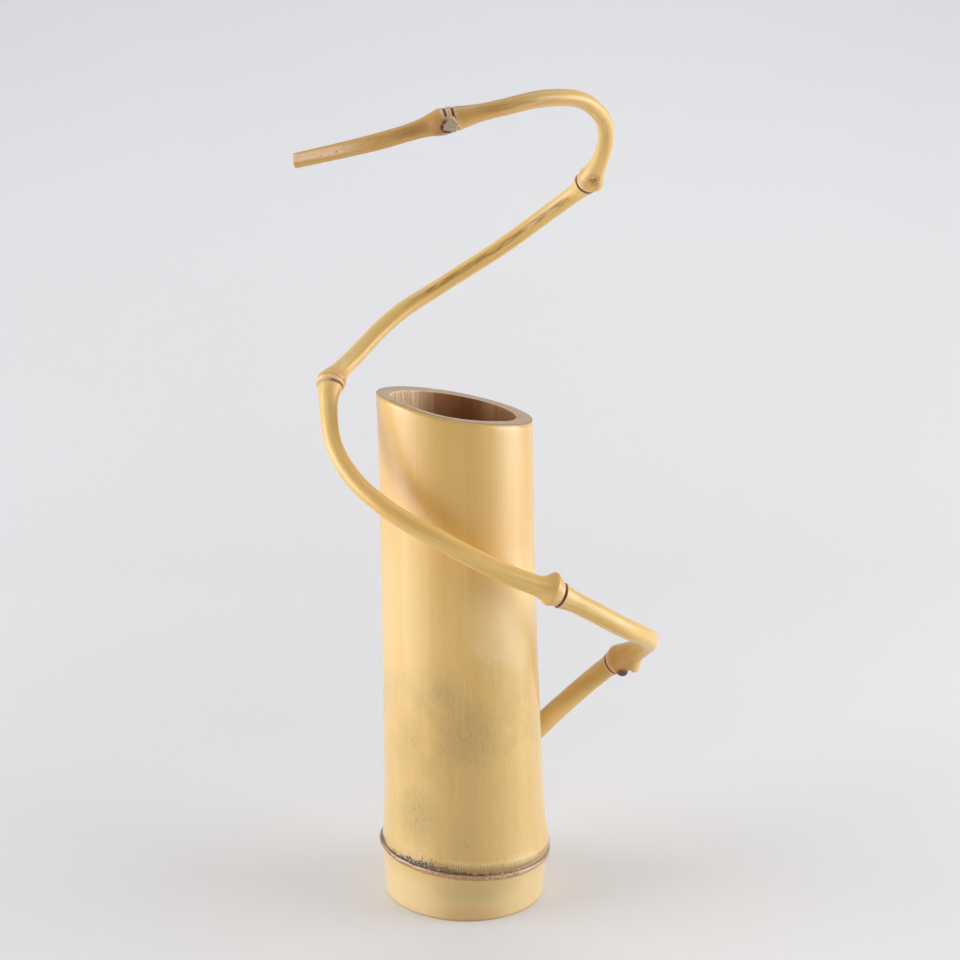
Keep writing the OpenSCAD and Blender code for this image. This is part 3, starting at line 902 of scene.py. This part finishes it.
def cut_material():
    """Sawn tip of the branch: pale wood with dark fibre ends."""
    t = Tree("cut_bamboo")
    pos = t.add("TexCoord").outputs["Object"]
    grain = t.noise(pos, 1800.0, 3, 0.6)
    soft = t.noise(pos, 120.0, 3, 0.5)
    col = t.mix(t.map(grain, 0.35, 0.65), "C4AC8E", "D6BFA3")
    col = t.mix(t.map(soft, 0.4, 0.7, 0.0, 0.5), col, "B99C82")
    col = t.mix(t.map(t.dots(pos, 900.0), 0.12, 0.3, 0.35, 0.0), col, "86684C")
    return t.surface(col, 0.75, t.bump(grain, 0.3, 0.0003))


def stub_material():
    """Sawn side shoot: grey-beige face with a dark torn edge towards the tip."""
    t = Tree("stub_cut")
    wood, size, side = t.vector("wood"), t.value("bud"), t.value("groove")
    grain = t.noise(wood, 2.0, 3, 0.6)
    crack = t.noise(wood, (0.7, 0.7, 1.1), 3, 0.7)
    col = t.mix(t.map(grain, 0.35, 0.65), "A9947A", "C2B094")
    torn = t.times(t.map(t.wobble(size, crack, 0.9), 0.62, 0.86), t.map(side, -0.3, 0.5))
    col = t.mix(torn, col, "4E2F22")
    wall = t.mix(t.map(side, -0.5, 0.6), "E3B98C", "7E4E34")
    col = t.mix(t.map(size, 0.97, 1.04), col, wall)
    return t.surface(col, 0.8, t.bump(t.math("ADD", grain, crack), 0.5, 0.0005))


def inner_material():
    """Chamber wall, glossy, coloured as painted light and shade: pale and lit, with painted glints, at
    the left, dark brown in shade at the back, a lighter tan shade at the right.
    """
    t = Tree("chamber_wall")
    wood = t.vector("wood")
    turn = t.turn(wood, 90.0)
    lines = t.noise(wood, (0.9, 0.9, 0.03), 5, 0.6)
    broad = t.noise(wood, (0.12, 0.12, 0.01), 3, 0.5)
    # Painted light and shade by the side of the chamber: pale where lit, dark brown in shade, tan at the
    # right
    at = t.wobble(turn, lines, 6.0)
    pale = t.mix(t.map(lines, 0.35, 0.65), "D2A97F", "EED0AA")
    brown = t.mix(t.map(broad, 0.35, 0.65), "93613D", "A8754C")
    tan = t.mix(t.map(lines, 0.35, 0.65), "B98A60", "C89D74")
    col = t.mix(t.map(at, 19.0, 22.0), brown, "BC9066")
    col = t.mix(t.map(at, 24.0, 44.0), col, pale)
    # Painted glints on the lit pale side
    painted_glint = t.times(t.map(t.noise(wood, 0.9, 2, 0.5), 0.6, 0.66), t.map(at, 32.0, 48.0), 0.6)
    col = t.mix(painted_glint, col, "FBEBD2")
    col = t.mix(t.map(at, -22.0, -30.0), col, tan)
    glitter = t.noise(wood, (3.0, 3.0, 2.0), 2, 0.6)
    rough = t.math("SUBTRACT", 0.42, t.times(t.map(at, 20.0, 40.0), t.map(glitter, 0.4, 0.7), 0.25))
    height = t.math("ADD", lines, t.times(glitter, 0.6))
    return t.surface(col, rough, t.bump(height, 0.35, 0.0004), Coat_Weight=0.15)


def partition_material():
    """Both sides of the partition inside the node."""
    t = Tree("partition")
    pos = t.add("TexCoord").outputs["Object"]
    n = t.noise(pos, 260.0, 4, 0.6)
    col = t.mix(t.map(n, 0.35, 0.65), "CDB287", "E0CBA3")
    return t.surface(col, 0.7, t.bump(n, 0.4, 0.0006))


def branch_material(branch):
    """Bark of the branch, which follows its internodes, nodes, scars and grooves."""
    t = Tree("branch_skin")
    wood, scar, groove, bud = t.vector("wood"), t.value("scar"), t.value("groove"), t.value("bud")
    along, turn = t.parts(wood)[2], t.turn(wood, 0.0)
    n1, _, n3, n4, n5 = branch.nodes
    fibre = t.noise(wood, (2.4, 2.4, 0.05), 5, 0.6)
    broad = t.noise(wood, (0.45, 0.45, 0.012), 3, 0.5)
    col = t.mix(t.map(broad, 0.35, 0.65), "E9BC66", "F3CE80")
    col = t.mix(t.map(fibre, 0.3, 0.7, 0.0, 0.3), col, "CFA158")
    # Browner at the foot and towards the tip
    foot = t.map(along, n1 + 4, n1 + 30, 0.8, 0.0)
    col = t.mix(foot, col, "D3AE68")
    old = t.map(along, n4 + 50, n5 - 2, 0.0, 0.6)
    col = t.mix(old, col, "BC883E")
    # Grooves are evenly darker, which is painted shade, and hold brown stains in streaks
    streak = t.noise(wood, (1.3, 1.3, 0.1), 5, 0.7)
    blot = t.noise(wood, (1.6, 1.6, 0.5), 5, 0.7)
    col = t.mix(t.times(groove, 0.2), col, "C4964C")
    deep = t.times(t.map(groove, 0.5, 0.9), t.map(streak, 0.42, 0.56))
    crook = t.times(t.band(along, n4 + 30, n5 - 8, 12), 0.5)
    where = t.math("ADD", t.band(along, n3 + 60, n4 - 4, 10), crook)
    col = t.mix(t.times(deep, where, 0.7), col, "7A5128")
    # Last internode: pink fold with brown spots, rusty past the node
    spots = t.times(t.map(groove, 0.25, 0.6), t.map(blot, 0.58, 0.66), t.map(along, n5 + 6, n5 + 16))
    pink = t.times(t.map(groove, 0.3, 0.7), t.map(along, n5 + 30, n5 + 56), 0.8)
    col = t.mix(pink, col, "F2CFA6")
    col = t.mix(t.times(spots, 0.8), col, "6E4A2A")
    rust = t.patch(along, t.wobble(turn, blot, 60.0), (n5 + 6.5, -38), (4.0, 40))
    col = t.mix(t.times(rust, 0.75), col, "6E4430")
    dusk = t.patch(along, t.wobble(turn, streak, 50.0), (n5 + 15, 4), (15, 60))
    col = t.mix(t.times(dusk, 0.6), col, "9A6833")
    # Brown scribbled mark of the fourth node
    mark = t.patch(along, turn, (n4 + 8.6, -104), (4.0, 46))
    scribble = t.map(t.noise(wood, 0.7, 3, 0.6), 0.49, 0.57, 1.0, 0.0)
    col = t.mix(t.times(mark, 0.4), col, "BD8B4A")
    col = t.mix(t.times(mark, scribble, 0.8), col, "8A5A30")
    # Nodes: warm ridge, pale band and lip, and the dark sheath scar, weak at the left of the
    # third node and wide at the underside of the fourth
    ridge = t.band(scar, 1.8, 8.0, 1.6)
    col = t.mix(t.times(ridge, 0.4), col, "D49C58")
    pale = t.band(scar, 0.5, 2.0, 0.35)
    col = t.mix(t.times(pale, 0.7), col, "EFC79A")
    lip = t.band(scar, -1.3, -0.35, 0.3)
    col = t.mix(t.times(lip, 0.55), col, "EDC596")
    crumb = t.noise(wood, 1.4, 3, 0.6)
    wob = t.wobble(scar, crumb, 0.7)
    weak = t.times(t.band(along, n3 - 3, n3 + 3, 1.0), t.map(turn, 108.0, 84.0, 0.25, 0.95))
    wide = t.times(t.band(along, n4 - 3, n4 + 3, 1.0), t.map(turn, -150.0, -100.0), 0.8)
    line = t.times(t.map(wob, -0.58, -0.3), t.map(t.math("SUBTRACT", wob, wide), 0.78, 0.48))
    line = t.times(line, t.math("SUBTRACT", 1.0, t.times(weak, 0.75)))
    col = t.mix(t.times(line, 0.92), col, t.mix(t.map(crumb, 0.4, 0.6), "452414", "7A482B"))
    # Creases of the third node: brown lines of painted shade in the dips of its folds
    crease = t.math("ADD", t.band(wob, 2.3, 2.8, 0.25), t.band(wob, 4.8, 5.2, 0.25))
    col = t.mix(t.times(crease, t.band(along, n3 - 1, n3 + 7, 1.0), 0.6), col, "A86C3C")
    # Pale bump and dark bud of the first node
    bump = t.patch(along, turn, (n1 + 11.8, -80), (4.2, 44))
    col = t.mix(t.times(bump, 0.85), col, "EFC795")
    bud_col = t.mix(t.map(crumb, 0.42, 0.6), "3A1A14", "8A4A3A")
    col = t.mix(bud, col, bud_col)
    rough = t.math("ADD", t.map(fibre, 0.3, 0.7, 0.32, 0.44), t.times(line, 0.3))
    rugged = t.math("ADD", t.times(t.band(scar, -2, 6, 1), 0.5), bud)
    height = t.math("ADD", t.times(fibre, 0.25), t.times(crumb, rugged))
    return t.surface(col, rough, t.bump(height, 0.35, 0.0004), Coat_Weight=0.45, Coat_Roughness=0.3)


def metal_material():
    """Brown copper of the water tube and its base."""
    t = Tree("tube_copper")
    pos = t.add("TexCoord").outputs["Object"]
    brushed = t.noise(pos, (60.0, 60.0, 2600.0), 4, 0.6)
    patina = t.noise(pos, 70.0, 4, 0.6)
    col = t.mix(t.map(patina, 0.4, 0.7), "B57F5A", "8A5B3E")
    col = t.mix(t.map(patina, 0.62, 0.8, 0.0, 0.5), col, "5F4433")
    rough = t.map(brushed, 0.3, 0.7, 0.26, 0.44)
    return t.surface(col, rough, t.bump(brushed, 0.12, 0.0001), Metallic=1.0)


# Water tube and its base


def turned_piece(name, profile, closed_by_disc=False):
    """Piece turned round the chamber's axis from (radius, height above its floor)."""
    cols = TUBE_COLS
    a = np.arange(cols) * 2 * math.pi / cols
    c, s = np.cos(a), np.sin(a)
    pts = [np.stack([r * c, r * s, np.full(cols, z + CHAMBER_FLOOR)], -1) for r, z in profile]
    faces = grid_faces(len(profile), cols, flip=not closed_by_disc)
    if closed_by_disc:
        faces.append(tuple(range(cols - 1, -1, -1)))
        faces.append(tuple((len(profile) - 1) * cols + k for k in range(cols)))
    return add_mesh(name, lean_out(np.concatenate(pts)), faces)


ROLL_X = 0.62


def make_tube():
    """Tube with a rolled rim, and the base disc under it with a rounded lower edge."""
    copper = metal_material()
    roll_r, roll_z = TUBE_RIM - ROLL_X, TUBE_H - RIM_H / 2
    roll = [math.pi * (1 - k / 12) for k in range(13)]
    wall = [(TUBE_BORE, BASE_T), (TUBE_BORE, 60.0), (TUBE_BORE, TUBE_H - RIM_H)]
    wall += [(roll_r + ROLL_X * math.cos(w), roll_z + RIM_H / 2 * math.sin(w)) for w in roll]
    wall += [(TUBE_R + 0.15, roll_z - RIM_H / 2 - 0.1), (TUBE_R, roll_z - RIM_H / 2 - 0.5)]
    wall += [(TUBE_R, 120.0), (TUBE_R, 60.0), (TUBE_R, BASE_T), (TUBE_BORE, BASE_T)]
    tube = turned_piece("Water_tube", wall)
    tube.data.materials.append(copper)
    place(tube, "tube", "tube_metal", "water_tube")
    disc = [(0.3, 0.0), (TUBE_R - 0.4, 0.0), (TUBE_R - 0.1, 0.12), (TUBE_R, 0.4)]
    disc += [(TUBE_R, BASE_T), (TUBE_BORE, BASE_T), (14.0, BASE_T), (0.3, BASE_T)]
    base = turned_piece("Tube_base", disc, closed_by_disc=True)
    base.data.materials.append(copper)
    place(base, "tube", "tube_metal", "tube_base")


# Stage, lights and camera


FLOOR_FRONT, FLOOR_BACK, FLOOR_HALF = -1.6, 0.5, 3.0
CURVE_R, CURVE_STEPS, BACKDROP_H = 0.9, 12, 3.2


def make_stage():
    """Floor that curves up into a backdrop, with painted shade that makes it a little darker at the
    left.
    """
    prof = [(FLOOR_FRONT, 0.0), (FLOOR_BACK, 0.0)]
    for k in range(1, CURVE_STEPS + 1):
        w = math.pi / 2 * k / CURVE_STEPS
        prof.append((FLOOR_BACK + CURVE_R * math.sin(w), CURVE_R - CURVE_R * math.cos(w)))
    prof.append((FLOOR_BACK + CURVE_R, BACKDROP_H))
    verts = [(x, y, z) for y, z in prof for x in (-FLOOR_HALF, FLOOR_HALF)]
    faces = [(2 * i, 2 * i + 1, 2 * i + 3, 2 * i + 2) for i in range(len(prof) - 1)]
    obj = add_mesh("Floor", verts, faces)
    t = Tree("floor")
    x, y, z = t.parts(t.add("TexCoord").outputs["Object"])
    col = t.mix(t.map(y, 0.0, 0.6), "E4E3E3", "EAE9EB")
    col = t.mix(t.map(z, 0.02, 0.35), col, "EBECEE")
    # Painted shade: the floor and backdrop are a little darker at the left
    left = t.times(t.map(x, 0.2, -0.25), t.map(y, 0.2, 0.45, 1.0, 0.3))
    col = t.mix(left, col, "F5F5F6", "MULTIPLY")
    # Paler to the camera, and in mirrors and glass, than it lights the vase
    glow = t.math("SUBTRACT", t.map(y, 0.3, 0.7, 0.082, 0.108), t.map(z, 0.14, 0.4, 0.0, 0.053))
    rays = t.add("LightPath").outputs
    seen = t.math("MAXIMUM", rays["Is Camera Ray"], rays["Is Glossy Ray"])
    glow = t.times(glow, t.math("MAXIMUM", seen, rays["Is Transmission Ray"]))
    obj.data.materials.append(t.surface(col, 0.85, glow=glow))


# Area lamps: name, place, size and power
LAMPS = [
    ("Left_box", (-1.06, -0.2, 0.24), (0.95, 0.9), 13.5),
    ("Right_box", (1.1, -0.12, 0.24), (0.95, 0.9), 12.8),
    ("Top_box", (0.1, 0.25, 1.5), (1.4, 1.0), 5.0),
]
LIGHT_AT = Vector((0.0, 0.0, 0.17))
WORLD_LIGHT, WORLD_COLOUR = 0.33, (0.96, 0.97, 1.0, 1)


def make_lights():
    """Area lamps and an even light from all sides."""
    for name, at, size, power in LAMPS:
        light = bpy.data.lights.new(name, "AREA")
        light.shape = "RECTANGLE"
        light.size, light.size_y = size
        light.energy = power
        obj = bpy.data.objects.new(name, light)
        obj.location = at
        obj.rotation_euler = (LIGHT_AT - obj.location).to_track_quat("-Z", "Y").to_euler()
        bpy.context.collection.objects.link(obj)
    world = bpy.data.worlds.new("Studio")
    bpy.context.scene.world = world
    world.use_nodes = True
    background = world.node_tree.nodes["Background"]
    background.inputs[0].default_value = WORLD_COLOUR
    background.inputs[1].default_value = WORLD_LIGHT


# Camera fitted to the photo: place, degrees across and degrees down
CAMERA_AT, CAMERA_ANGLE, CAMERA_DOWN = (0.0071, -0.9163, 0.45338), 26.0, 15.3


def make_camera():
    """Camera that stands where the photo was taken."""
    cam = bpy.data.cameras.new("Camera")
    cam.sensor_fit = "HORIZONTAL"
    cam.angle = rad(CAMERA_ANGLE)
    obj = bpy.data.objects.new("Camera", cam)
    obj.location = CAMERA_AT
    obj.rotation_euler = (rad(90 - CAMERA_DOWN), 0, 0)
    bpy.context.collection.objects.link(obj)
    bpy.context.scene.camera = obj


make_camera()
make_stage()
make_lights()
make_culm()
make_branch()
make_tube()
bpy.context.scene.view_settings.view_transform = "Standard"
